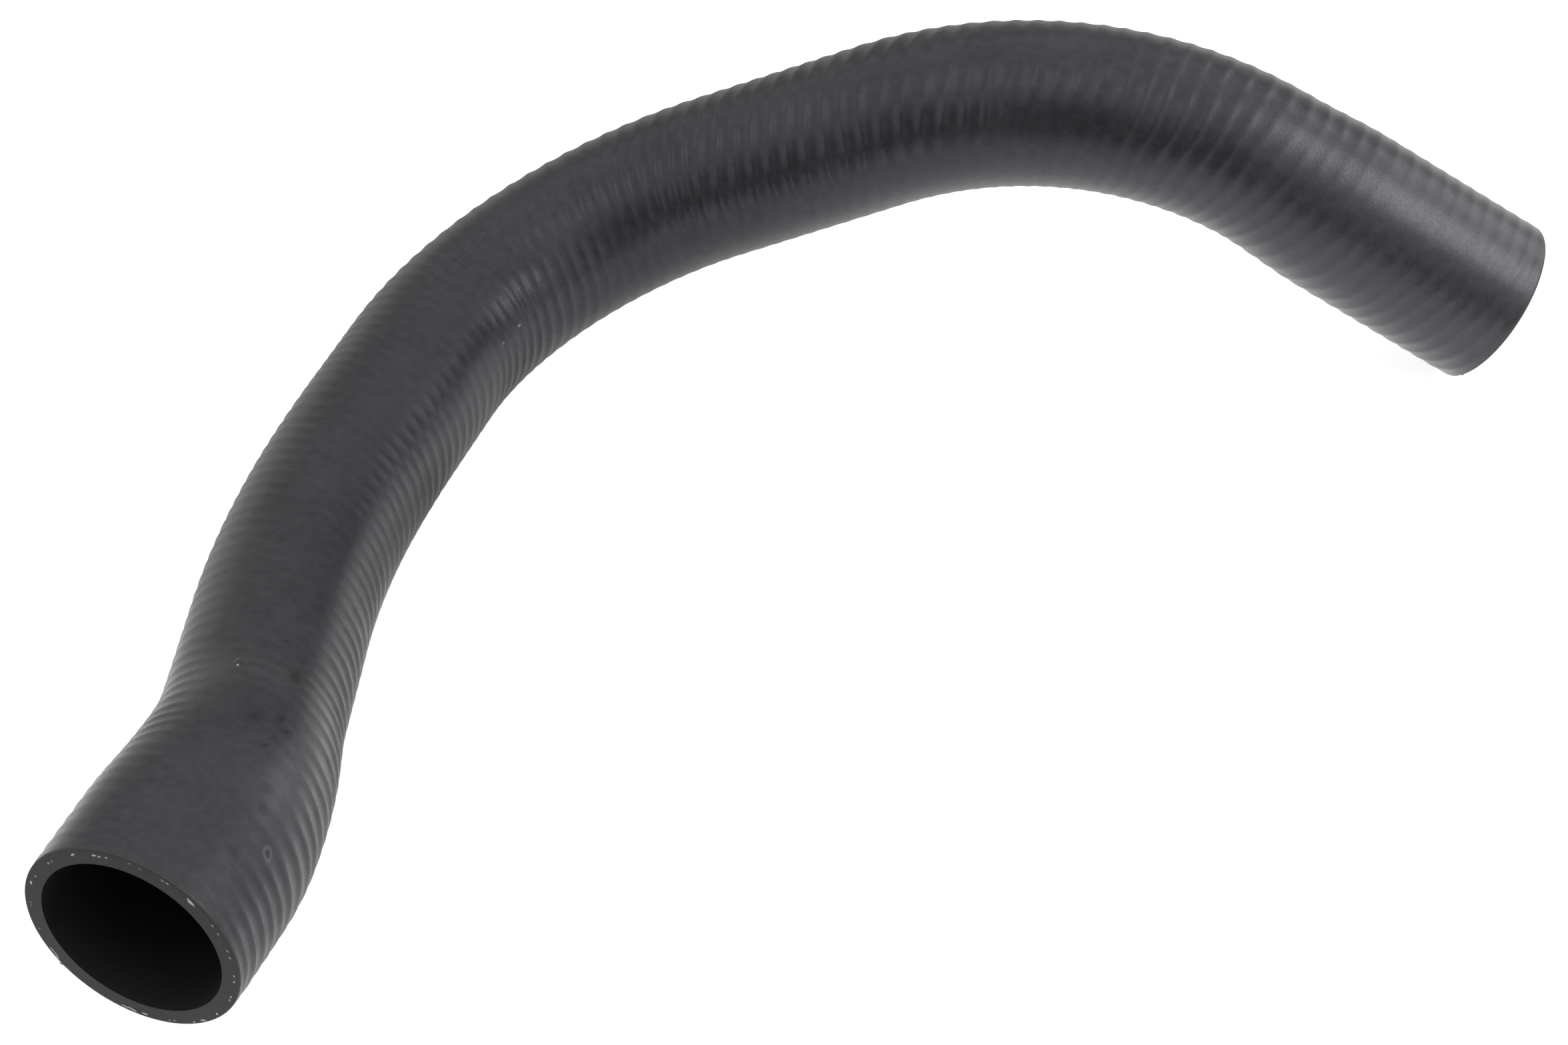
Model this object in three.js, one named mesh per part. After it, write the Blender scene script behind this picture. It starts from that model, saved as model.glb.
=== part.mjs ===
// A charge air hose: one moulded length of rubber with a knitted yarn inside its wall.
// It lies on a level surface as it comes to rest, on the rim of its flared mouth, on the
// underside of its long second bend and on the rim of its small end.
// Millimetres, +Z up, +X from the mouth's side to the small end's side. The origin is under
// the middle of the hose, on the surface that it lies on.

import * as THREE from 'three';

// Bores and wall. A hose is ordered by the bores that its pipes push into.
const mouthBore = 55;
const hoseBore = 42;
const smallEndBore = 45;
const wall = 5.4;

// Lengths along the hose: the straight grip of each end and the taper behind it.
const mouthGrip = 36;
const mouthTaper = 50;
const smallEndGrip = 66;
const smallEndTaper = 22;

// How far a taper takes to turn into the straight hose, as a share of the taper.
const mouthTaperBlend = 0.18;
const smallEndTaperBlend = 0.3;

// The cut ends have their outer edge slightly broken.
const edgeBreak = 0.7;

// Each row of the knitted yarn raises one low ridge round the outside. The rows lie closer in
// some places than in others: each pair is a count of rows from the mouth, and how far along
// the hose that many rows reach.
const rowReach = [
  [0, 0],
  [12, 62],
  [17, 93],
  [29, 175],
  [40, 242],
  [47, 278],
  [54, 318],
  [66, 397],
  [79, 478],
  [99, 600],
  [105, 640],
  [113, 687],
];
const yarnRows = 113;
const ridgeHeight = 0.4;

// The route of the centreline, as a drawing gives it: where the straight legs would meet,
// measured from the centre of the mouth, and the radius of the bend at each meeting point.
const routeStart = new THREE.Vector3(0, 0, 0);
const firstCorner = new THREE.Vector3(22, 51, 6);
const secondCorner = new THREE.Vector3(30.5, 187, -7);
const thirdCorner = new THREE.Vector3(86, 342.5, -3.5);
const fourthCorner = new THREE.Vector3(272.5, 325, 77.5);
const routeEnd = new THREE.Vector3(407, 316.5, -9.6);
const firstBendRadius = 135;
const secondBendRadius = 340;
const thirdBendRadius = 95;
const fourthBendRadius = 135;

// Fineness of the faces: sides round the hose, and the step along the smooth bore.
const sides = 20;
const boreStep = 17;

const rubberColour = 0x454547;

// The circular bend that rounds off one corner of the route.
class Bend extends THREE.Curve {
  constructor(before, corner, after, radius) {
    super();
    const arriving = corner.clone().sub(before).normalize();
    const leaving = after.clone().sub(corner).normalize();
    this.angle = arriving.angleTo(leaving);
    this.radius = radius;
    this.setback = radius * Math.tan(this.angle / 2);
    this.start = corner.clone().addScaledVector(arriving, -this.setback);
    this.end = corner.clone().addScaledVector(leaving, this.setback);
    this.along = arriving;
    this.inward = leaving.clone().addScaledVector(arriving, -leaving.dot(arriving)).normalize();
  }

  getPoint(t, target = new THREE.Vector3()) {
    const turned = this.angle * t;
    return target
      .copy(this.start)
      .addScaledVector(this.along, this.radius * Math.sin(turned))
      .addScaledVector(this.inward, this.radius * (1 - Math.cos(turned)));
  }
}

// Straight legs and bends joined into one centreline.
function buildRoute(points, radii) {
  const route = new THREE.CurvePath();
  let legStart = points[0];
  radii.forEach((radius, i) => {
    const bend = new Bend(points[i], points[i + 1], points[i + 2], radius);
    route.add(new THREE.LineCurve3(legStart, bend.start));
    route.add(bend);
    legStart = bend.end;
  });
  route.add(new THREE.LineCurve3(legStart, points[points.length - 1]));
  return route;
}

const route = buildRoute(
  [routeStart, firstCorner, secondCorner, thirdCorner, fourthCorner, routeEnd],
  [firstBendRadius, secondBendRadius, thirdBendRadius, fourthBendRadius],
);
const routeLength = route.getLength();

// A straight slope from 0 to 1 whose two corners are rounded over the given share.
function easedSlope(t, blend) {
  if (t <= -blend) return 0;
  if (t < blend) return (t + blend) ** 2 / (4 * blend);
  if (t <= 1 - blend) return t;
  if (t < 1 + blend) return 1 - (1 + blend - t) ** 2 / (4 * blend);
  return 1;
}

// Radius of the bore at a distance along the hose.
function boreRadius(distance) {
  const pastMouth = easedSlope((distance - mouthGrip) / mouthTaper, mouthTaperBlend);
  const smallEndStart = routeLength - smallEndGrip - smallEndTaper;
  const intoSmallEnd = easedSlope((distance - smallEndStart) / smallEndTaper, smallEndTaperBlend);
  return (
    hoseBore / 2 +
    ((mouthBore - hoseBore) / 2) * (1 - pastMouth) +
    ((smallEndBore - hoseBore) / 2) * intoSmallEnd
  );
}

// One ring of points square to the route. The first point is straight below the centre,
// so the hose lies on a true edge of its faces and not on a flat between two of them.
function ring(distance, radius) {
  const share = THREE.MathUtils.clamp(distance / routeLength, 0, 1);
  const centre = route.getPoint(share);
  const along = route.getTangent(share);
  const upward = new THREE.Vector3(0, 0, 1).addScaledVector(along, -along.z).normalize();
  const sideways = new THREE.Vector3().crossVectors(along, upward);
  return Array.from({ length: sides }, (_, i) => {
    const angle = (2 * Math.PI * i) / sides;
    return centre
      .clone()
      .addScaledVector(upward, -radius * Math.cos(angle))
      .addScaledVector(sideways, -radius * Math.sin(angle));
  });
}

// How far along the hose a number of yarn rows reaches.
function reachOfRows(rows) {
  const next = rowReach.findIndex(([count]) => count > rows);
  const [lastCount, lastReach] = rowReach[next - 1];
  const [nextCount, nextReach] = rowReach[next];
  return lastReach + ((rows - lastCount) / (nextCount - lastCount)) * (nextReach - lastReach);
}

// The outside, from the mouth to the small end: a crest and a valley for each ridge, fading
// to the plain radius at the two cut ends, where the edge is broken.
function outerRings() {
  const rings = [ring(0, boreRadius(0) + wall - edgeBreak)];
  rings.push(ring(edgeBreak, boreRadius(edgeBreak) + wall));
  for (let i = 1; i < 2 * yarnRows; i += 1) {
    const distance = reachOfRows(i / 2);
    const swell = (i % 2 ? 0.5 : -0.5) * ridgeHeight;
    rings.push(ring(distance, boreRadius(distance) + wall + swell));
  }
  rings.push(ring(routeLength - edgeBreak, boreRadius(routeLength - edgeBreak) + wall));
  rings.push(ring(routeLength, boreRadius(routeLength) + wall - edgeBreak));
  return rings;
}

// The smooth bore, from the small end back to the mouth.
function boreRings() {
  const steps = Math.ceil(routeLength / boreStep);
  return Array.from({ length: steps + 1 }, (_, i) => {
    const distance = routeLength * (1 - i / steps);
    return ring(distance, boreRadius(distance));
  });
}

// Joins each ring to the next and the last to the first, which closes the wall on itself.
function loftClosed(rings) {
  const positions = rings.flat().flatMap((point) => point.toArray());
  const indices = [];
  rings.forEach((_, row) => {
    const here = row * sides;
    const next = ((row + 1) % rings.length) * sides;
    for (let i = 0; i < sides; i += 1) {
      const j = (i + 1) % sides;
      indices.push(here + i, here + j, next + j);
      indices.push(here + i, next + j, next + i);
    }
  });
  const geometry = new THREE.BufferGeometry();
  geometry.setAttribute('position', new THREE.Float32BufferAttribute(positions, 3));
  geometry.setIndex(indices);
  geometry.computeVertexNormals();
  return geometry;
}

// Moves the shape so that the middle of its underside is at the origin.
function standOnOrigin(geometry) {
  geometry.computeBoundingBox();
  const { min, max } = geometry.boundingBox;
  geometry.translate(-(min.x + max.x) / 2, -(min.y + max.y) / 2, -min.z);
  return geometry;
}

const rubber = new THREE.MeshStandardMaterial({ color: rubberColour, roughness: 0.7, metalness: 0 });
const hose = new THREE.Mesh(standOnOrigin(loftClosed([...outerRings(), ...boreRings()])), rubber);
hose.name = 'charge_air_hose';

const part = new THREE.Group();
part.add(hose);

export default part;
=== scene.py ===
import math

import bpy
from mathutils import Matrix, Vector


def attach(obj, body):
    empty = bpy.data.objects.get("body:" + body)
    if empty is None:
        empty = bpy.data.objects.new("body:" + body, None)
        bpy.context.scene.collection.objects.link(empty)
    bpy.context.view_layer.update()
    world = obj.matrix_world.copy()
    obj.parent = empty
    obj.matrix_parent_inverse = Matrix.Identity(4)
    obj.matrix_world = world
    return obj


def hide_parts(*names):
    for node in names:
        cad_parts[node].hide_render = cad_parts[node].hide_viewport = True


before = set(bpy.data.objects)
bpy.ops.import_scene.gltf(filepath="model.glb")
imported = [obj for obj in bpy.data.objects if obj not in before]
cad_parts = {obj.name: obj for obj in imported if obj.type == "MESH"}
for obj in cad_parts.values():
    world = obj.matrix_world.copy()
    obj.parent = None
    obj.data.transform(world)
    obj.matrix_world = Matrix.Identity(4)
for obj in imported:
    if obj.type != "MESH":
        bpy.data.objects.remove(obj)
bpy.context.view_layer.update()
scene = bpy.context.scene
scene.view_settings.view_transform = "Standard"

# Camera: a long lens a little over a metre from the hose, looking down on it at 37 degrees.
lens = bpy.data.cameras.new("camera")
lens.lens = 102.57
lens.sensor_width = 36
camera = bpy.data.objects.new("camera", lens)
camera.location = (-0.02026, -1.06346, 0.84993)
camera.rotation_euler = (math.radians(52.71), 0, 0)
scene.collection.objects.link(camera)
scene.camera = camera

# Charge air hose: one moulded length of synthetic rubber with a knitted yarn inside its wall,
# cured on a bent mandrel, so its bends, its flared mouth and its cuff are moulded in. It is
# cut square at both ends. Sizes are in metres.
route_corners = [
    (-0.195901, -0.174964, 0.032694),
    (-0.173901, -0.123964, 0.038694),
    (-0.165401, 0.012036, 0.025694),
    (-0.109901, 0.167536, 0.029194),
    (0.076599, 0.150036, 0.110194),
    (0.211099, 0.141536, 0.023094),
]
bend_radii = [0.0, 0.135, 0.340, 0.095, 0.135, 0.0]
hose_sizes = {
    "Mouth Bore": 0.055,
    "Hose Bore": 0.042,
    "Small End Bore": 0.045,
    "Wall": 0.0054,
    "Mouth Grip": 0.036,
    "Mouth Taper": 0.050,
    "Small End Grip": 0.066,
    "Small End Taper": 0.022,
    "Edge Break": 0.0007,
    "Yarn Rows": 113.0,
    "Ridge Height": 0.0004,
}
outside_radius = hose_sizes["Hose Bore"] / 2 + hose_sizes["Wall"]
# The tables below give distances along the hose in millimetres, up to this one.
whole_reach = 687
# Yarn rows counted from the mouth, and how far along the hose that many rows reach.
row_reach = [
    (0, 0),
    (12, 62),
    (17, 93),
    (29, 175),
    (40, 242),
    (47, 278),
    (54, 318),
    (66, 397),
    (79, 478),
    (99, 600),
    (105, 640),
    (113, 687),
]
# How far round from the top the middle of the wrapped tape's strip of pressure lies, in degrees,
# at distances along the hose. It stays between this lowest angle and the top.
strip_lowest = -90
strip_middle = [
    (0, -30),
    (50, -26),
    (100, -16),
    (151, -18),
    (250, -31),
    (299, -36),
    (401, -60),
    (687, -63),
]
# How high the ridges stand, as a share of the ridge height: for each angle from that middle, in
# degrees, the shares at distances along the hose.
ridge_shares = {
    -100: [(0, 1.2), (230, 1.2), (260, 0.4), (480, 0.3), (560, 0.6), (687, 0.6)],
    -63: [(0, 2.2), (60, 2.4), (84, 2.6), (170, 2.6), (225, 2.3), (250, 0.85), (280, 0.83), (295, 1.36),
          (312, 1.05), (335, 0.43), (350, 0.26), (500, 0.23), (535, 0.23), (565, 0.4), (600, 0.46),
          (687, 0.53)],
    -32: [(0, 0.3), (60, 0.3), (85, 0.38), (110, 0.12), (170, 0.11), (210, 0.56), (230, 0.5), (276, 0.22),
          (300, 0.24), (315, 0.96), (330, 1.1), (360, 0.46), (396, 0.39), (440, 1.8), (460, 1.9), (480, 0.6),
          (500, 0.38), (530, 0.24), (550, 0.28), (640, 0.36), (687, 0.51)],
    2: [(0, 0.1), (48, 0.08), (130, 0.44), (170, 0.2), (200, 0.06), (240, 0.08), (280, 0.12), (312, 0.37),
        (335, 0.34), (350, 0.42), (372, 0.22), (396, 2.0), (420, 2.6), (500, 2.3), (516, 0.56), (530, 0.4),
        (552, 1.6), (564, 1.5), (588, 0.58), (612, 0.24), (640, 0.15), (687, 0.18)],
    35: [(0, 1.0), (24, 0.7), (48, 0.06), (72, 0.05), (96, 0.05), (140, 0.05), (210, 0.36), (290, 0.28),
          (310, 1.6), (360, 1.6), (384, 2.4), (400, 2.6), (456, 2.1), (485, 0.28), (504, 0.85), (520, 1.7),
          (545, 1.3), (564, 0.48), (588, 0.12), (650, 0.16), (687, 0.5)],
    60: [(0, 0.09), (36, 0.13), (60, 0.84), (84, 0.72), (110, 0.32), (140, 0.26), (276, 0.21), (336, 0.13),
          (365, 1.2), (396, 0.5), (440, 0.66), (480, 1.3), (516, 0.58), (535, 0.75), (555, 1.9), (570, 1.7),
          (588, 0.7), (612, 0.5), (640, 0.3), (687, 0.34)],
    100: [(0, 0.8), (540, 0.8), (580, 0.45), (687, 0.45)],
}


def linear(colour):
    """An sRGB hex colour as the linear values that the shader works in."""
    shares = [int(colour[i : i + 2], 16) / 255 for i in (1, 3, 5)]
    return tuple(s / 12.92 if s <= 0.04045 else ((s + 0.055) / 1.055) ** 2.4 for s in shares) + (1.0,)


def feed(tree, node, inputs):
    """Gives each input a value, a socket, a node for its first output, or a list of these to join."""
    for key, value in inputs.items():
        named = [s for s in node.inputs if s.name == key and s.enabled]
        socket = node.inputs[key] if isinstance(key, int) else named[0]
        for source in value if isinstance(value, list) else [value]:
            if isinstance(source, bpy.types.Node):
                source = [s for s in source.outputs if s.enabled][0]
            if isinstance(source, bpy.types.NodeSocket):
                tree.links.new(source, socket)
            else:
                socket.default_value = source


def add(tree, kind, inputs=None, **settings):
    """Adds a node with its settings and feeds its inputs."""
    node = tree.nodes.new(kind)
    for name, value in settings.items():
        setattr(node, name, value)
    feed(tree, node, inputs or {})
    return node


# Marks on the cover: where the middle lies (metres along, degrees round), its turn, its half
# sizes in millimetres, its colour and how soft its rim is. The dent's and the crease's colours
# are painted highlight and painted shade.
cover_marks = (
    ("pale speck", (0.0808, 1.1), 0.0, (0.6, 0.42), "#E4E4E0", 0.7),
    ("pale tail", (0.0835, 3.1), 30.0, (2.4, 0.35), "#7A7A7C", 1.0),
    ("spot by the speck", (0.0818, -1.0), 0.0, (0.9, 0.7), "#0A0A0B", 1.0),
    ("first nick", (0.1388, 31.9), 20.0, (1.2, 0.5), "#050505", 0.6),
    ("second nick", (0.1350, 29.5), 20.0, (1.1, 0.5), "#050505", 0.6),
    ("small nick", (0.2250, 28.0), 10.0, (1.2, 0.5), "#060606", 0.8),
    ("nick by the right side", (0.0660, -71.6), 0.0, (1.0, 0.9), "#030303", 0.7),
    # The oval dent is drawn only in colour: its paler rim is a painted highlight, and its dark middle is
    # painted shade.
    ("painted highlight round the oval hollow", (0.0282, -61.1), -35.0, (2.6, 2.0), "#58585C", 0.5),
    ("painted shade in the oval hollow", (0.0282, -61.1), -35.0, (1.6, 1.2), "#161617", 0.6),
    ("round stain", (0.0598, -18.8), 0.0, (3.4, 3.8), "#161617", 1.0),
    ("cracked stain", (0.0636, -33.0), 25.0, (2.8, 1.5), "#060607", 1.0),
    ("cracked stain's tail", (0.0606, -38.6), 50.0, (3.0, 1.2), "#050506", 1.0),
    ("short stain", (0.0520, -30.7), 40.0, (2.2, 0.9), "#0C0C0D", 1.0),
    ("stain on the flare", (0.0405, -42.6), 0.0, (3.2, 3.4), "#0E0E0F", 1.0),
    ("small stain on the flare", (0.0358, -45.5), 0.0, (2.4, 2.6), "#101011", 1.0),
    ("low stain on the flare", (0.0205, -46.0), 0.0, (2.8, 3.2), "#121213", 1.0),
    ("brown smudge", (0.0828, -34.0), 10.0, (4.0, 2.8), "#1B1812", 1.0),
    # The crease where the flare ends is drawn only as a near-black line of painted shade.
    ("painted shade in the crease where the flare ends", (0.0615, 38.0), 0.0, (0.6, 9.0), "#080808", 0.9),
    ("pale rub", (0.2928, -67.4), 0.0, (1.2, 0.6), "#8A8A8C", 0.8),
    ("second pale rub", (0.3060, -67.8), 0.0, (1.4, 0.6), "#A0A0A2", 0.8),
)

# Cover: carbon-black filled synthetic rubber, cured under a wrapped tape and so quite matt,
# with a soft broad sheen, a fine grain and faint paler bloom in patches. The bloom's patches,
# the mottling and the grain are this many millimetres across.
bloom_size = 22.2
mottle_size = 3.125
grain_size = 0.714
cover_rubber = bpy.data.materials.new("cured cover rubber")
cover_rubber.use_nodes = True
shade = cover_rubber.node_tree
skin_shader = shade.nodes["Principled BSDF"]
skin_shader.inputs["IOR"].default_value = 1.5
skin_shader.inputs["Specular IOR Level"].default_value = 0.5
skin_shader.inputs["Specular Tint"].default_value = linear("#F4F2FC")
place = add(shade, "ShaderNodeTexCoord").outputs["Object"]
bloom = add(shade, "ShaderNodeTexNoise", {"Vector": place, "Scale": 1000 / bloom_size, "Detail": 4.0})
mottle = add(shade, "ShaderNodeTexNoise", {"Vector": place, "Scale": 1000 / mottle_size, "Detail": 3.0})
grain = add(shade, "ShaderNodeTexNoise", {"Vector": place, "Scale": 1000 / grain_size, "Detail": 3.0})
blotched = add(shade, "ShaderNodeMix", {"Factor": 0.55, "A": bloom, "B": mottle}, data_type="FLOAT")
blotched = add(shade, "ShaderNodeMapRange", {"Value": blotched, "From Min": 0.36, "From Max": 0.64})
tone = add(
    shade,
    "ShaderNodeMix",
    {"Factor": blotched, "A": linear("#28282A"), "B": linear("#3B3B3D")},
    data_type="RGBA",
)
sheet = add(shade, "ShaderNodeAttribute", attribute_name="laid_out").outputs["Vector"]
toned = tone
for name, (mark_along, mark_around), turn, half_size, colour, softness in cover_marks:
    middle = (mark_along, math.radians(mark_around), 0.0)
    centred = add(shade, "ShaderNodeVectorMath", {0: sheet, 1: middle}, operation="SUBTRACT")
    to_metres = (1.0, outside_radius, 1.0)
    evened_out = add(shade, "ShaderNodeVectorMath", {0: centred, 1: to_metres}, operation="MULTIPLY")
    turned = add(
        shade,
        "ShaderNodeVectorRotate",
        {"Vector": evened_out, "Angle": math.radians(turn)},
        rotation_type="Z_AXIS",
    )
    to_half_sizes = (1000 / half_size[0], 1000 / half_size[1], 0.0)
    scaled = add(shade, "ShaderNodeVectorMath", {0: turned, 1: to_half_sizes}, operation="MULTIPLY")
    away = add(shade, "ShaderNodeVectorMath", {0: scaled}, operation="LENGTH").outputs["Value"]
    shown = add(
        shade,
        "ShaderNodeMapRange",
        {"Value": away, "From Min": 1.0 - softness, "From Max": 1.0, "To Min": 1.0, "To Max": 0.0},
        interpolation_type="SMOOTHSTEP",
    )
    toned = add(
        shade,
        "ShaderNodeMix",
        {"Factor": shown, "A": toned, "B": linear(colour)},
        data_type="RGBA",
        label=name,
    )
grained = add(
    shade,
    "ShaderNodeMapRange",
    {"Value": grain, "From Min": 0.3, "From Max": 0.7, "To Min": 0.3, "To Max": 0.4},
)
fine_bump = add(shade, "ShaderNodeBump", {"Strength": 0.25, "Distance": 0.0002, "Height": grain})
feed(shade, skin_shader, {"Base Color": toned, "Roughness": grained, "Normal": fine_bump})

# Cut faces: the same rubber sliced through, so rougher and greyer than the cover. The blade
# leaves a grain of about this many millimetres.
slice_size = 1.11
cut_rubber = bpy.data.materials.new("sliced rubber")
cut_rubber.use_nodes = True
shade = cut_rubber.node_tree
cut_shader = shade.nodes["Principled BSDF"]
cut_shader.inputs["IOR"].default_value = 1.5
place = add(shade, "ShaderNodeTexCoord").outputs["Object"]
slicing = add(shade, "ShaderNodeTexNoise", {"Vector": place, "Scale": 1000 / slice_size, "Detail": 3.0})
tone = add(
    shade,
    "ShaderNodeMix",
    {"Factor": slicing, "A": linear("#414141"), "B": linear("#515151")},
    data_type="RGBA",
)
cut_bump = add(shade, "ShaderNodeBump", {"Strength": 0.4, "Distance": 0.0003, "Height": slicing})
feed(shade, cut_shader, {"Base Color": tone, "Roughness": 0.75, "Normal": cut_bump})

# Lining: a smooth black rubber that keeps oil mist out of the wall. It is darker and smoother
# to the eye than the cover, with faint clouds of about this many millimetres.
cloud_size = 16.7
lining_rubber = bpy.data.materials.new("smooth lining rubber")
lining_rubber.use_nodes = True
shade = lining_rubber.node_tree
lining_shader = shade.nodes["Principled BSDF"]
lining_shader.inputs["Roughness"].default_value = 0.5
lining_shader.inputs["IOR"].default_value = 1.5
place = add(shade, "ShaderNodeTexCoord").outputs["Object"]
clouding = add(shade, "ShaderNodeTexNoise", {"Vector": place, "Scale": 1000 / cloud_size, "Detail": 2.0})
tone = add(
    shade,
    "ShaderNodeMix",
    {"Factor": clouding, "A": linear("#222222"), "B": linear("#2C2C2C")},
    data_type="RGBA",
)
feed(shade, lining_shader, {"Base Color": tone})

# The wall is laid out flat, x along the hose, y round it in radians and z into the wall, and
# is then rolled round the centreline. These are the points along the outside, about eight for
# each ridge, along the lining, across a cut face, and round all of them.
skin_points = 901
lining_points = 101
face_points = 13
points_round = 97
full_turn = 2 * math.pi
# Points closer than this are welded, and a depth this close to a face's counts as on it.
closeness = 0.00001
tree = bpy.data.node_groups.new("moulded hose", "GeometryNodeTree")
tree.interface.new_socket("Route", in_out="INPUT", socket_type="NodeSocketGeometry")
for name, size in hose_sizes.items():
    tree.interface.new_socket(name, in_out="INPUT", socket_type="NodeSocketFloat").default_value = size
tree.interface.new_socket("Hose", in_out="OUTPUT", socket_type="NodeSocketGeometry")
given = add(tree, "NodeGroupInput").outputs
wall = given["Wall"]
edge_break = given["Edge Break"]

polyline = add(tree, "GeometryNodeMeshToCurve", {"Mesh": given["Route"]})
corner_radius = add(tree, "GeometryNodeInputNamedAttribute", {"Name": "bend_radius"}, data_type="FLOAT")
rounded = add(
    tree,
    "GeometryNodeFilletCurve",
    {"Curve": polyline, "Count": 96, "Radius": corner_radius.outputs["Attribute"]},
    mode="POLY",
)
evened = add(tree, "GeometryNodeResampleCurve", {"Curve": rounded, "Length": 0.001}, mode="LENGTH")
centreline = add(tree, "GeometryNodeSetCurveNormal", {"Curve": evened}, mode="Z_UP")
hose_length = add(tree, "GeometryNodeCurveLength", {"Curve": centreline})
half_length = add(tree, "ShaderNodeMath", {0: hose_length, 1: 0.5}, operation="MULTIPLY")

two_breaks = add(tree, "ShaderNodeMath", {0: edge_break, 1: 2.0}, operation="MULTIPLY")
skin_length = add(tree, "ShaderNodeMath", {0: hose_length, 1: two_breaks}, operation="SUBTRACT")
skin_sheet = add(
    tree,
    "GeometryNodeMeshGrid",
    {"Size X": skin_length, "Size Y": full_turn, "Vertices X": skin_points, "Vertices Y": points_round},
)
skin_shift = add(tree, "ShaderNodeCombineXYZ", {"X": half_length})
skin = add(tree, "GeometryNodeTransform", {"Geometry": skin_sheet, "Translation": skin_shift})

lining_sheet = add(
    tree,
    "GeometryNodeMeshGrid",
    {"Size X": hose_length, "Size Y": full_turn, "Vertices X": lining_points, "Vertices Y": points_round},
)
lining_shift = add(tree, "ShaderNodeCombineXYZ", {"X": half_length, "Z": wall})
lining_placed = add(tree, "GeometryNodeTransform", {"Geometry": lining_sheet, "Translation": lining_shift})
lining = add(tree, "GeometryNodeFlipFaces", {"Mesh": lining_placed})

# A cut face, with its points crowded together where the outer edge rounds over.
crowding = 1.7
face_sheet = add(
    tree,
    "GeometryNodeMeshGrid",
    {"Size X": 1.0, "Size Y": full_turn, "Vertices X": face_points, "Vertices Y": points_round},
)
sheet_place = add(tree, "ShaderNodeSeparateXYZ", {"Vector": add(tree, "GeometryNodeInputPosition")})
across = add(tree, "ShaderNodeMath", {0: sheet_place.outputs["X"], 1: 0.5}, operation="ADD", use_clamp=True)
crowded = add(tree, "ShaderNodeMath", {0: across, 1: crowding}, operation="POWER")
into_wall = add(tree, "ShaderNodeMath", {0: crowded, 1: wall}, operation="MULTIPLY")
short_of_flat = add(tree, "ShaderNodeMath", {0: edge_break, 1: into_wall}, operation="SUBTRACT")
short_of_flat = add(tree, "ShaderNodeMath", {0: short_of_flat, 1: 0.0}, operation="MAXIMUM")
squared = add(tree, "ShaderNodeMath", {0: short_of_flat, 1: short_of_flat}, operation="MULTIPLY")
break_squared = add(tree, "ShaderNodeMath", {0: edge_break, 1: edge_break}, operation="MULTIPLY")
left_over = add(tree, "ShaderNodeMath", {0: break_squared, 1: squared}, operation="SUBTRACT")
rise = add(tree, "ShaderNodeMath", {0: left_over}, operation="SQRT")
back_from_end = add(tree, "ShaderNodeMath", {0: edge_break, 1: rise}, operation="SUBTRACT")
face_place = add(
    tree, "ShaderNodeCombineXYZ", {"X": back_from_end, "Y": sheet_place.outputs["Y"], "Z": into_wall}
)
face = add(tree, "GeometryNodeSetPosition", {"Geometry": face_sheet, "Position": face_place})
mouth_face = add(tree, "GeometryNodeFlipFaces", {"Mesh": face})
far_end = add(tree, "ShaderNodeCombineXYZ", {"X": hose_length})
small_end_face = add(
    tree, "GeometryNodeTransform", {"Geometry": face, "Translation": far_end, "Scale": (-1.0, 1.0, 1.0)}
)
flat_wall = add(tree, "GeometryNodeJoinGeometry", {"Geometry": [skin, lining, mouth_face, small_end_face]})


def draw_line(node, points):
    """Draws a Float Curve's line through points from 0 to 1 both ways, straight between them."""
    line = node.mapping.curves[0].points
    for _ in points[2:]:
        line.new(0.5, 0.5)
    for point, place in zip(line, points):
        point.location = place
        point.handle_type = "VECTOR"
    node.mapping.update()


# The flat wall's coordinates, with x and y kept for the marks and z for sorting the faces.
flat_place = add(tree, "ShaderNodeSeparateXYZ", {"Vector": add(tree, "GeometryNodeInputPosition")})
along = flat_place.outputs["X"]
around = flat_place.outputs["Y"]
depth = flat_place.outputs["Z"]
share_along = add(tree, "ShaderNodeMath", {0: along, 1: hose_length}, operation="DIVIDE")
laid_out = add(tree, "ShaderNodeCombineXYZ", {"X": along, "Y": around})
mapped = add(
    tree,
    "GeometryNodeStoreNamedAttribute",
    {"Geometry": flat_wall, "Name": "laid_out", "Value": laid_out},
    data_type="FLOAT2",
    domain="CORNER",
)
sorted_wall = add(
    tree,
    "GeometryNodeStoreNamedAttribute",
    {"Geometry": mapped, "Name": "depth", "Value": depth},
    data_type="FLOAT",
    domain="POINT",
)

# Radius of the bore: the flared mouth eases into the hose, and the hose into the cuff. Each
# taper's two corners are rounded over this share of it.
mouth_easing = 0.27
cuff_easing = 0.45
past_grip = add(tree, "ShaderNodeMath", {0: along, 1: given["Mouth Grip"]}, operation="SUBTRACT")
mouth_share = add(tree, "ShaderNodeMath", {0: past_grip, 1: given["Mouth Taper"]}, operation="DIVIDE")
mouth_share = add(tree, "ShaderNodeMath", {0: mouth_share, 1: 0.0, 2: mouth_easing}, operation="SMOOTH_MAX")
mouth_share = add(tree, "ShaderNodeMath", {0: mouth_share, 1: 1.0, 2: mouth_easing}, operation="SMOOTH_MIN")
to_end = add(tree, "ShaderNodeMath", {0: hose_length, 1: along}, operation="SUBTRACT")
past_cuff = add(tree, "ShaderNodeMath", {0: to_end, 1: given["Small End Grip"]}, operation="SUBTRACT")
cuff_share = add(tree, "ShaderNodeMath", {0: past_cuff, 1: given["Small End Taper"]}, operation="DIVIDE")
cuff_share = add(tree, "ShaderNodeMath", {0: cuff_share, 1: 0.0, 2: cuff_easing}, operation="SMOOTH_MAX")
cuff_share = add(tree, "ShaderNodeMath", {0: cuff_share, 1: 1.0, 2: cuff_easing}, operation="SMOOTH_MIN")
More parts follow.
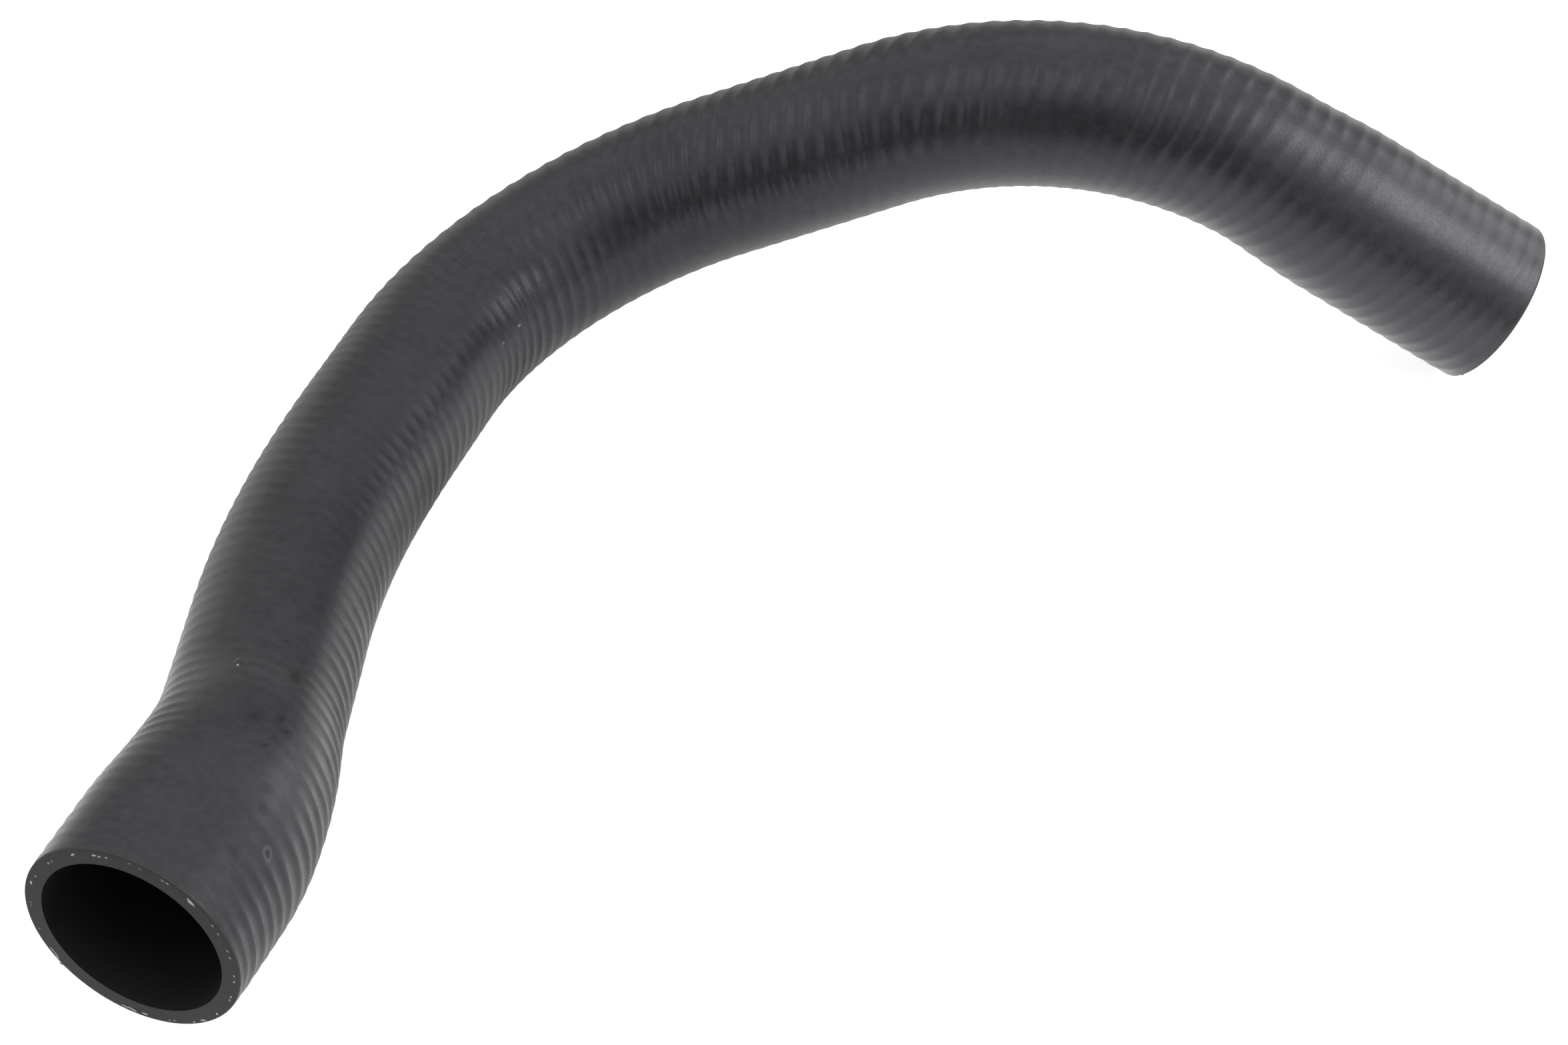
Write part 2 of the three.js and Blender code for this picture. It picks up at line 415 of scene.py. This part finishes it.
flared = add(
    tree,
    "ShaderNodeMapRange",
    {"Value": mouth_share, "To Min": given["Mouth Bore"], "To Max": given["Hose Bore"]},
)
cuffed = add(
    tree,
    "ShaderNodeMapRange",
    {"Value": cuff_share, "To Min": given["Small End Bore"], "To Max": given["Hose Bore"]},
)
both_bores = add(tree, "ShaderNodeMath", {0: flared, 1: cuffed}, operation="ADD")
bore = add(tree, "ShaderNodeMath", {0: both_bores, 1: given["Hose Bore"]}, operation="SUBTRACT")
bore_radius = add(tree, "ShaderNodeMath", {0: bore, 1: 0.5}, operation="MULTIPLY")
wall_left = add(tree, "ShaderNodeMath", {0: wall, 1: depth}, operation="SUBTRACT")
plain_radius = add(tree, "ShaderNodeMath", {0: bore_radius, 1: wall_left}, operation="ADD")

# Each row of the knitted yarn raises one low ridge. The rows wind round as a helix of five
# starts, wander by under a millimetre, and are pulled along on one side of the near run. Their
# crests are sharper than their valleys, and they fade out over a few millimetres at the ends.
helix_starts = 5.0
wander_reach = 0.0009
wander_per_metre = 40.0
pull_reach = 0.005
pull_turned = 0.87
crest_sharpness = 0.2
fade_length = 0.004
around_x = add(tree, "ShaderNodeMath", {0: around}, operation="COSINE")
around_y = add(tree, "ShaderNodeMath", {0: around}, operation="SINE")
drawn_in = add(tree, "ShaderNodeMath", {0: along, 1: wander_per_metre}, operation="MULTIPLY")
rolled = add(tree, "ShaderNodeCombineXYZ", {"X": drawn_in, "Y": around_y, "Z": around_x})
wander = add(tree, "ShaderNodeTexNoise", {"Vector": rolled, "Scale": 1.3, "Detail": 2.0})
wandered = add(
    tree,
    "ShaderNodeMapRange",
    {"Value": wander, "From Min": 0.25, "From Max": 0.75, "To Min": -wander_reach, "To Max": wander_reach},
)
pulled = add(tree, "ShaderNodeFloatCurve", {"Value": share_along})
draw_line(pulled, [(0.0, 0.0), (0.08, 0.0), (0.14, 1.0), (0.33, 1.0), (0.43, 0.0), (1.0, 0.0)])
pull_turn = add(tree, "ShaderNodeMath", {0: around, 1: pull_turned}, operation="ADD")
pull_wave = add(tree, "ShaderNodeMath", {0: pull_turn}, operation="COSINE")
pull = add(tree, "ShaderNodeMath", {0: pulled, 1: pull_wave}, operation="MULTIPLY")
pull = add(tree, "ShaderNodeMath", {0: pull, 1: pull_reach}, operation="MULTIPLY")
drifted = add(tree, "ShaderNodeMath", {0: along, 1: pull}, operation="ADD")
drifted = add(tree, "ShaderNodeMath", {0: drifted, 1: wandered}, operation="ADD")
drifted_share = add(tree, "ShaderNodeMath", {0: drifted, 1: hose_length}, operation="DIVIDE")
row_share = add(tree, "ShaderNodeFloatCurve", {"Value": drifted_share})
draw_line(row_share, [(reach / whole_reach, rows / hose_sizes["Yarn Rows"]) for rows, reach in row_reach])
row_count = add(tree, "ShaderNodeMath", {0: row_share, 1: given["Yarn Rows"]}, operation="MULTIPLY")
row_phase = add(tree, "ShaderNodeMath", {0: row_count, 1: full_turn}, operation="MULTIPLY")
helix_turn = add(tree, "ShaderNodeMath", {0: around, 1: helix_starts}, operation="MULTIPLY")
ridge_phase = add(tree, "ShaderNodeMath", {0: row_phase, 1: helix_turn}, operation="SUBTRACT")
ridge_wave = add(tree, "ShaderNodeMath", {0: ridge_phase}, operation="COSINE")
twice_phase = add(tree, "ShaderNodeMath", {0: ridge_phase, 1: 2.0}, operation="MULTIPLY")
sharpness = add(tree, "ShaderNodeMath", {0: twice_phase}, operation="COSINE")
sharpness = add(tree, "ShaderNodeMath", {0: sharpness, 1: crest_sharpness}, operation="MULTIPLY")
ridge_wave = add(tree, "ShaderNodeMath", {0: ridge_wave, 1: sharpness}, operation="ADD")
ends_off = add(tree, "ShaderNodeMath", {0: along, 1: to_end}, operation="MINIMUM")
fade = add(
    tree,
    "ShaderNodeMapRange",
    {"Value": ends_off, "From Min": edge_break, "From Max": fade_length},
    interpolation_type="SMOOTHSTEP",
)
outer_share = add(tree, "ShaderNodeMath", {0: wall_left, 1: wall}, operation="DIVIDE")
strip_share = add(tree, "ShaderNodeFloatCurve", {"Value": share_along})
draw_line(strip_share, [(reach / whole_reach, 1 - angle / strip_lowest) for reach, angle in strip_middle])
strip_angle = add(
    tree,
    "ShaderNodeMapRange",
    {"Value": strip_share, "To Min": math.radians(strip_lowest), "To Max": 0.0},
)
from_strip = add(tree, "ShaderNodeMath", {0: around, 1: strip_angle}, operation="SUBTRACT")
tallest = max(height for line in ridge_shares.values() for reach, height in line)
shares = []
for line in ridge_shares.values():
    share = add(tree, "ShaderNodeFloatCurve", {"Value": share_along})
    draw_line(share, [(reach / whole_reach, height / tallest) for reach, height in line])
    shares.append(share)
angles = [math.radians(angle) for angle in ridge_shares]
ridge_share = shares[0]
for last_angle, angle, share in zip(angles, angles[1:], shares[1:]):
    towards = add(
        tree,
        "ShaderNodeMapRange",
        {"Value": from_strip, "From Min": last_angle, "From Max": angle},
        interpolation_type="SMOOTHSTEP",
    )
    blend = {"Factor": towards, "A": ridge_share, "B": share}
    ridge_share = add(tree, "ShaderNodeMix", blend, data_type="FLOAT")
ridge_size = add(tree, "ShaderNodeMath", {0: given["Ridge Height"], 1: 0.5 * tallest}, operation="MULTIPLY")
ridge_size = add(tree, "ShaderNodeMath", {0: ridge_size, 1: ridge_share}, operation="MULTIPLY")
ridge_size = add(tree, "ShaderNodeMath", {0: ridge_size, 1: fade}, operation="MULTIPLY")
ridge_size = add(tree, "ShaderNodeMath", {0: ridge_size, 1: outer_share}, operation="MULTIPLY")
ridge = add(tree, "ShaderNodeMath", {0: ridge_size, 1: ridge_wave}, operation="MULTIPLY")
radius = add(tree, "ShaderNodeMath", {0: plain_radius, 1: ridge}, operation="ADD")

# Rolling: out from the centreline by the radius, at the angle round it.
at_centre = add(
    tree,
    "GeometryNodeSampleCurve",
    {"Curves": centreline, "Length": along},
    mode="LENGTH",
    data_type="FLOAT",
)
upward = add(
    tree,
    "ShaderNodeVectorMath",
    {0: at_centre.outputs["Normal"], 1: at_centre.outputs["Tangent"]},
    operation="CROSS_PRODUCT",
)
up_part = add(tree, "ShaderNodeVectorMath", {0: upward, "Scale": around_x}, operation="SCALE")
side_part = add(
    tree,
    "ShaderNodeVectorMath",
    {0: at_centre.outputs["Normal"], "Scale": around_y},
    operation="SCALE",
)
outward = add(tree, "ShaderNodeVectorMath", {0: up_part, 1: side_part}, operation="SUBTRACT")
offset = add(tree, "ShaderNodeVectorMath", {0: outward, "Scale": radius}, operation="SCALE")
surface = add(tree, "ShaderNodeVectorMath", {0: at_centre.outputs["Position"], 1: offset}, operation="ADD")
rolled_up = add(tree, "GeometryNodeSetPosition", {"Geometry": sorted_wall, "Position": surface})
welded = add(tree, "GeometryNodeMergeByDistance", {"Geometry": rolled_up, "Distance": closeness})

# Smooth all over, but for the edges that turn by more than this many radians.
corner_angle = 0.9
smooth = add(tree, "GeometryNodeSetShadeSmooth", {"Geometry": welded, "Shade Smooth": True})
edge_angle = add(tree, "GeometryNodeInputMeshEdgeAngle").outputs["Unsigned Angle"]
corner_edge = add(
    tree, "FunctionNodeCompare", {"A": edge_angle, "B": corner_angle}, operation="GREATER_THAN"
)
creased = add(
    tree,
    "GeometryNodeSetShadeSmooth",
    {"Geometry": smooth, "Selection": corner_edge, "Shade Smooth": False},
    domain="EDGE",
)
real = add(tree, "GeometryNodeRealizeInstances", {"Geometry": creased})
kept_depth = add(tree, "GeometryNodeInputNamedAttribute", {"Name": "depth"}, data_type="FLOAT")
kept_depth = kept_depth.outputs["Attribute"]
near_lining = add(tree, "ShaderNodeMath", {0: wall, 1: closeness}, operation="SUBTRACT")
below_skin = add(tree, "FunctionNodeCompare", {"A": kept_depth, "B": closeness}, operation="GREATER_THAN")
on_lining = add(tree, "FunctionNodeCompare", {"A": kept_depth, "B": near_lining}, operation="GREATER_THAN")
covered = add(tree, "GeometryNodeSetMaterial", {"Geometry": real, "Material": cover_rubber})
cut = add(
    tree, "GeometryNodeSetMaterial", {"Geometry": covered, "Selection": below_skin, "Material": cut_rubber}
)
lined = add(
    tree, "GeometryNodeSetMaterial", {"Geometry": cut, "Selection": on_lining, "Material": lining_rubber}
)
add(tree, "NodeGroupOutput", {"Hose": lined})

route = bpy.data.meshes.new("route")
route.from_pydata(route_corners, [(i, i + 1) for i in range(len(route_corners) - 1)], [])
route.attributes.new("bend_radius", "FLOAT", "POINT").data.foreach_set("value", bend_radii)
growing = bpy.data.objects.new("growing hose", route)
scene.collection.objects.link(growing)
moulding = growing.modifiers.new("moulded hose", "NODES")
moulding.node_group = tree
for socket in tree.interface.items_tree:
    if socket.in_out == "INPUT" and socket.name in hose_sizes:
        moulding[socket.identifier] = hose_sizes[socket.name]
evaluated = growing.evaluated_get(bpy.context.evaluated_depsgraph_get())
hose = bpy.data.objects.new("hose", bpy.data.meshes.new_from_object(evaluated))
# The sheets start with an empty material slot, which no face uses once the rubbers are set.
hose.data.materials.pop(index=0)
bpy.data.objects.remove(growing)
scene.collection.objects.link(hose)
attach(hose, "root")
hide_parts("charge_air_hose")

# Yarn: pale polyester knitted into the wall. Cutting the hose leaves its ends showing in pairs
# round both cut faces, nearer the outside. They are matt and off white, and most of them are
# smeared grey with rubber.
yarn_colour = bpy.data.materials.new("cut polyester yarn")
yarn_colour.use_nodes = True
shade = yarn_colour.node_tree
yarn_shader = shade.nodes["Principled BSDF"]
yarn_shader.inputs["Roughness"].default_value = 0.8
smear = add(shade, "ShaderNodeAttribute", attribute_name="smear").outputs["Fac"]
yarn_tone = add(
    shade,
    "ShaderNodeMix",
    {"Factor": smear, "A": linear("#FFFBEE"), "B": linear("#5A5955")},
    data_type="RGBA",
)
feed(shade, yarn_shader, {"Base Color": yarn_tone})

# Each cut end of yarn on the mouth: degrees round from the top, out from the middle and long in
# millimetres, and how far it is smeared. The small end is cut through the same stitches.
stitches = [
    (-25.4, 30.9, 1.8, 0.0), (-12.0, 30.9, 1.8, 0.0), (-9.0, 30.7, 1.2, 0.2), (-4.8, 30.9, 1.2, 0.45),
    (-42.6, 30.5, 1.0, 0.6), (-45.9, 30.5, 1.2, 0.5), (-62.8, 30.6, 0.9, 0.4), (-69.9, 31.1, 1.6, 0.0),
    (-86.1, 30.9, 0.9, 0.7), (-88.3, 30.9, 0.7, 0.7), (8.3, 31.6, 0.9, 0.75), (13.9, 31.3, 1.2, 0.8),
    (26.4, 31.7, 1.2, 0.5), (29.0, 31.8, 1.2, 0.45), (43.5, 31.7, 3.6, 0.0), (43.9, 31.3, 2.6, 0.1),
    (59.8, 31.6, 1.1, 0.55), (65.4, 31.4, 1.0, 0.6), (77.0, 31.3, 1.0, 0.5), (81.7, 31.2, 1.2, 0.5),
    (95.0, 31.2, 1.1, 0.5), (99.6, 31.2, 1.1, 0.4), (112.8, 31.2, 1.0, 0.3), (115.9, 31.3, 1.0, 0.5),
    (132.7, 31.5, 1.2, 0.2), (145.0, 31.8, 2.2, 0.1), (151.7, 31.9, 1.2, 0.5), (163.8, 31.4, 1.2, 0.6),
    (167.0, 31.5, 1.0, 0.6), (-178.6, 31.3, 2.2, 0.0), (-171.5, 31.4, 3.2, 0.0), (-167.5, 31.5, 2.6, 0.2),
    (-124.0, 31.6, 3.0, 0.3), (-120.0, 31.4, 2.6, 0.4), (-129.2, 32.7, 1.5, 0.25), (-105.2, 31.1, 1.0, 0.7),
]
yarn_sizes = {"Strand": 0.0007, "Height": 0.0002}
# The small end's ring of yarn, as a share of the mouth's.
small_ring = 0.84
tree = bpy.data.node_groups.new("cut yarn", "GeometryNodeTree")
tree.interface.new_socket("Stitches", in_out="INPUT", socket_type="NodeSocketGeometry")
for name, size in yarn_sizes.items():
    tree.interface.new_socket(name, in_out="INPUT", socket_type="NodeSocketFloat").default_value = size
tree.interface.new_socket("Yarn", in_out="OUTPUT", socket_type="NodeSocketGeometry")
given = add(tree, "NodeGroupInput").outputs
strand = add(tree, "GeometryNodeMeshUVSphere", {"Segments": 8, "Rings": 5, "Radius": 0.5})
heading = add(tree, "GeometryNodeInputNamedAttribute", {"Name": "heading"}, data_type="FLOAT")
length = add(tree, "GeometryNodeInputNamedAttribute", {"Name": "length"}, data_type="FLOAT")
skew = add(tree, "FunctionNodeRandomValue", {"Min": -0.35, "Max": 0.35, "Seed": 3}, data_type="FLOAT")
turned = add(tree, "ShaderNodeMath", {0: heading.outputs["Attribute"], 1: skew}, operation="ADD")
dashes = add(
    tree,
    "GeometryNodeInstanceOnPoints",
    {
        "Points": add(tree, "GeometryNodeMeshToPoints", {"Mesh": given["Stitches"]}),
        "Instance": strand,
        "Rotation": add(tree, "ShaderNodeCombineXYZ", {"Z": turned}),
        "Scale": add(
            tree,
            "ShaderNodeCombineXYZ",
            {"X": length.outputs["Attribute"], "Y": given["Strand"], "Z": given["Height"]},
        ),
    },
)
real = add(tree, "GeometryNodeRealizeInstances", {"Geometry": dashes})
dyed = add(tree, "GeometryNodeSetMaterial", {"Geometry": real, "Material": yarn_colour})
add(tree, "NodeGroupOutput", {"Yarn": dyed})

for name, centre, inner, ring_share in (
    ("mouth_yarn", route_corners[0], route_corners[1], 1.0),
    ("small_end_yarn", route_corners[-1], route_corners[-2], small_ring),
):
    # On each face y points up and x to the right, seen from outside.
    outwards = (Vector(centre) - Vector(inner)).normalized()
    up = Vector((0, 0, 1)) - outwards * outwards.z
    facing = Matrix((up.cross(outwards).normalized(), up.normalized(), outwards)).transposed()
    turns, outs, lengths, smears = zip(*stitches)
    turns = [math.radians(degrees) for degrees in turns]
    radii = [out * ring_share / 1000 for out in outs]
    places = [(math.sin(turn) * out, math.cos(turn) * out, 0.0) for turn, out in zip(turns, radii)]
    points = bpy.data.meshes.new(name)
    points.from_pydata(places, [], [])
    for key, values in (
        ("heading", [-turn for turn in turns]),
        ("length", [long / 1000 for long in lengths]),
        ("smear", smears),
    ):
        points.attributes.new(key, "FLOAT", "POINT").data.foreach_set("value", values)
    growing = bpy.data.objects.new("growing yarn", points)
    scene.collection.objects.link(growing)
    knitting = growing.modifiers.new("cut yarn", "NODES")
    knitting.node_group = tree
    for socket in tree.interface.items_tree:
        if socket.in_out == "INPUT" and socket.name in yarn_sizes:
            knitting[socket.identifier] = yarn_sizes[socket.name]
    evaluated = growing.evaluated_get(bpy.context.evaluated_depsgraph_get())
    yarn_mesh = bpy.data.meshes.new_from_object(evaluated)
    yarn_mesh.transform(Matrix.Translation(centre) @ facing.to_4x4())
    bpy.data.objects.remove(growing)
    yarn = bpy.data.objects.new(name, yarn_mesh)
    scene.collection.objects.link(yarn)
    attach(yarn, "root")

# Floor: a wide matt white board, which shows white and keeps the hose's shadow. In what the
# rubber mirrors of it, the board glows with painted light, brightest in a band in front of the
# far run, by the mouth and behind the small end.
board = bpy.data.materials.new("matt white board")
board.use_nodes = True
shade = board.node_tree
shade.nodes.clear()
ray = add(shade, "ShaderNodeLightPath")
seen = add(
    shade,
    "ShaderNodeMath",
    {0: ray.outputs["Is Camera Ray"], 1: ray.outputs["Is Glossy Ray"]},
    operation="MAXIMUM",
)
seen = add(shade, "ShaderNodeMath", {0: seen, 1: ray.outputs["Is Transmission Ray"]}, operation="MAXIMUM")
paper = add(shade, "ShaderNodeBsdfDiffuse", {"Color": linear("#E8E8E8")})
place = add(shade, "ShaderNodeSeparateXYZ", {"Vector": add(shade, "ShaderNodeTexCoord").outputs["Object"]})
# Painted light on the floor, seen only in the rubber's reflections: brighter to the right, in a band, past
# the small end and by the mouth.
brighter_right = add(
    shade,
    "ShaderNodeMapRange",
    {"Value": place.outputs["X"], "From Min": -0.1, "From Max": 0.12, "To Min": 0.35, "To Max": 1.2},
)
share_back = add(
    shade, "ShaderNodeMapRange", {"Value": place.outputs["Y"], "From Min": -0.3, "From Max": 0.5}
)
band = add(shade, "ShaderNodeFloatCurve", {"Value": share_back})
draw_line(band, [(0.0, 0.1), (0.2, 0.2), (0.45, 1.0), (0.56, 1.0), (0.7, 0.1), (1.0, 0.1)])
painted_glow = add(shade, "ShaderNodeMath", {0: brighter_right, 1: band}, operation="MULTIPLY")
past_end = add(
    shade,
    "ShaderNodeMapRange",
    {"Value": place.outputs["X"], "From Min": 0.16, "From Max": 0.3, "To Max": 0.55},
)
behind_end = add(
    shade,
    "ShaderNodeMapRange",
    {"Value": place.outputs["Y"], "From Min": 0.2, "From Max": 0.3},
)
beyond = add(shade, "ShaderNodeMath", {0: past_end, 1: behind_end}, operation="MULTIPLY")
painted_glow = add(shade, "ShaderNodeMath", {0: painted_glow, 1: beyond}, operation="ADD")
left_part = add(
    shade,
    "ShaderNodeMapRange",
    {"Value": place.outputs["X"], "From Min": 0.02, "From Max": -0.06, "To Max": 0.8},
)
front_part = add(
    shade,
    "ShaderNodeMapRange",
    {"Value": place.outputs["Y"], "From Min": 0.05, "From Max": 0.0},
)
by_mouth = add(shade, "ShaderNodeMath", {0: left_part, 1: front_part}, operation="MULTIPLY")
painted_glow = add(shade, "ShaderNodeMath", {0: painted_glow, 1: by_mouth}, operation="ADD")
strength = add(
    shade,
    "ShaderNodeMix",
    {"Factor": ray.outputs["Is Camera Ray"], "A": painted_glow, "B": 0.85},
    data_type="FLOAT",
)
glow = add(shade, "ShaderNodeEmission", {"Color": linear("#FFFFFF"), "Strength": strength})
lit = add(shade, "ShaderNodeAddShader", {0: paper, 1: glow})
mixed = add(shade, "ShaderNodeMixShader", {0: seen, 1: paper, 2: lit})
add(shade, "ShaderNodeOutputMaterial", {"Surface": mixed})
floor_mesh = bpy.data.meshes.new("floor")
half_floor = 12.0
floor_corners = [(x * half_floor, y * half_floor, 0) for x, y in ((-1, -1), (1, -1), (1, 1), (-1, 1))]
floor_mesh.from_pydata(floor_corners, [], [(0, 1, 2, 3)])
floor_mesh.materials.append(board)
floor = bpy.data.objects.new("floor", floor_mesh)
scene.collection.objects.link(floor)

# Light: a white room, dimmer for what it spreads over matt rubber than for what it mirrors.
world = bpy.data.worlds.new("white room")
scene.world = world
world.use_nodes = True
shade = world.node_tree
shade.nodes.clear()
ray = add(shade, "ShaderNodeLightPath")
seen = add(
    shade,
    "ShaderNodeMath",
    {0: ray.outputs["Is Camera Ray"], 1: ray.outputs["Is Glossy Ray"]},
    operation="MAXIMUM",
)
seen = add(shade, "ShaderNodeMath", {0: seen, 1: ray.outputs["Is Transmission Ray"]}, operation="MAXIMUM")
room = add(shade, "ShaderNodeBackground", {"Color": linear("#FFFFFF"), "Strength": 0.5})
white = add(shade, "ShaderNodeBackground", {"Color": linear("#FFFFFF"), "Strength": 1.0})
mixed = add(shade, "ShaderNodeMixShader", {0: seen, 1: room, 2: white})
add(shade, "ShaderNodeOutputWorld", {"Surface": mixed})

# Cards that the camera doesn't see, whose reflections shape the sheen of the rubber: dull ones in
# front of the hose, behind it and high on the right, a bright one overhead, and a brighter one
# beyond the small end. The white screen hides the lamp from the mouth and the bend, and shows in
# the sheen alone.
for name, corners, brightness in (
    ("front card", [(-2.4, -2.6, 0.02), (1.7, -2.6, 0.02), (1.7, -2.6, 2.2), (-2.4, -2.6, 2.2)], 0.2),
    ("front floor", [(-2.4, -2.6, 0.01), (2.4, -2.6, 0.01), (2.4, -0.25, 0.01), (-2.4, -0.25, 0.01)], 0.13),
    ("back card", [(-3.4, 3.0, 0.35), (3.4, 3.0, 0.35), (3.4, 3.0, 2.5), (-3.4, 3.0, 2.5)], 0.4),
    ("top card", [(-0.8, -1.1, 2.0), (0.2, -1.1, 2.0), (0.2, -0.1, 2.2), (-0.8, -0.1, 2.2)], 2.0),
    ("white screen", [(0.3, -0.22, 0.2), (0.3, 0.06, 0.2), (0.3, 0.06, 0.52), (0.3, -0.22, 0.52)], 1.0),
    ("right card", [(3.0, -2.6, 2.4), (3.0, 0.2, 2.4), (3.0, 0.2, 4.5), (3.0, -2.6, 4.5)], 0.35),
    ("side card", [(0.77, 0.72, 0.17), (1.0, 0.3, 0.17), (1.0, 0.3, 0.6), (0.77, 0.72, 0.6)], 2.7),
):
    paint = bpy.data.materials.new(name)
    paint.use_nodes = True
    shade = paint.node_tree
    shade.nodes.clear()
    grey = add(shade, "ShaderNodeEmission", {"Color": linear("#FFFFFF"), "Strength": brightness})
    add(shade, "ShaderNodeOutputMaterial", {"Surface": grey})
    card_mesh = bpy.data.meshes.new(name)
    card_mesh.from_pydata(corners, [], [(0, 1, 2, 3)])
    card_mesh.materials.append(paint)
    card = bpy.data.objects.new(name, card_mesh)
    card.visible_camera = False
    card.visible_diffuse = name != "white screen"
    scene.collection.objects.link(card)

# Lamp: one broad soft box high on the right, which faces the hose.
light = bpy.data.lights.new("soft box", "AREA")
light.shape = "RECTANGLE"
light.size = 1.4
light.size_y = 0.9
light.energy = 24.0
lamp = bpy.data.objects.new("soft box", light)
lamp.location = (1.96, -0.42, 1.33)
lamp.rotation_euler = (math.radians(54.5), 0, math.radians(80))
scene.collection.objects.link(lamp)
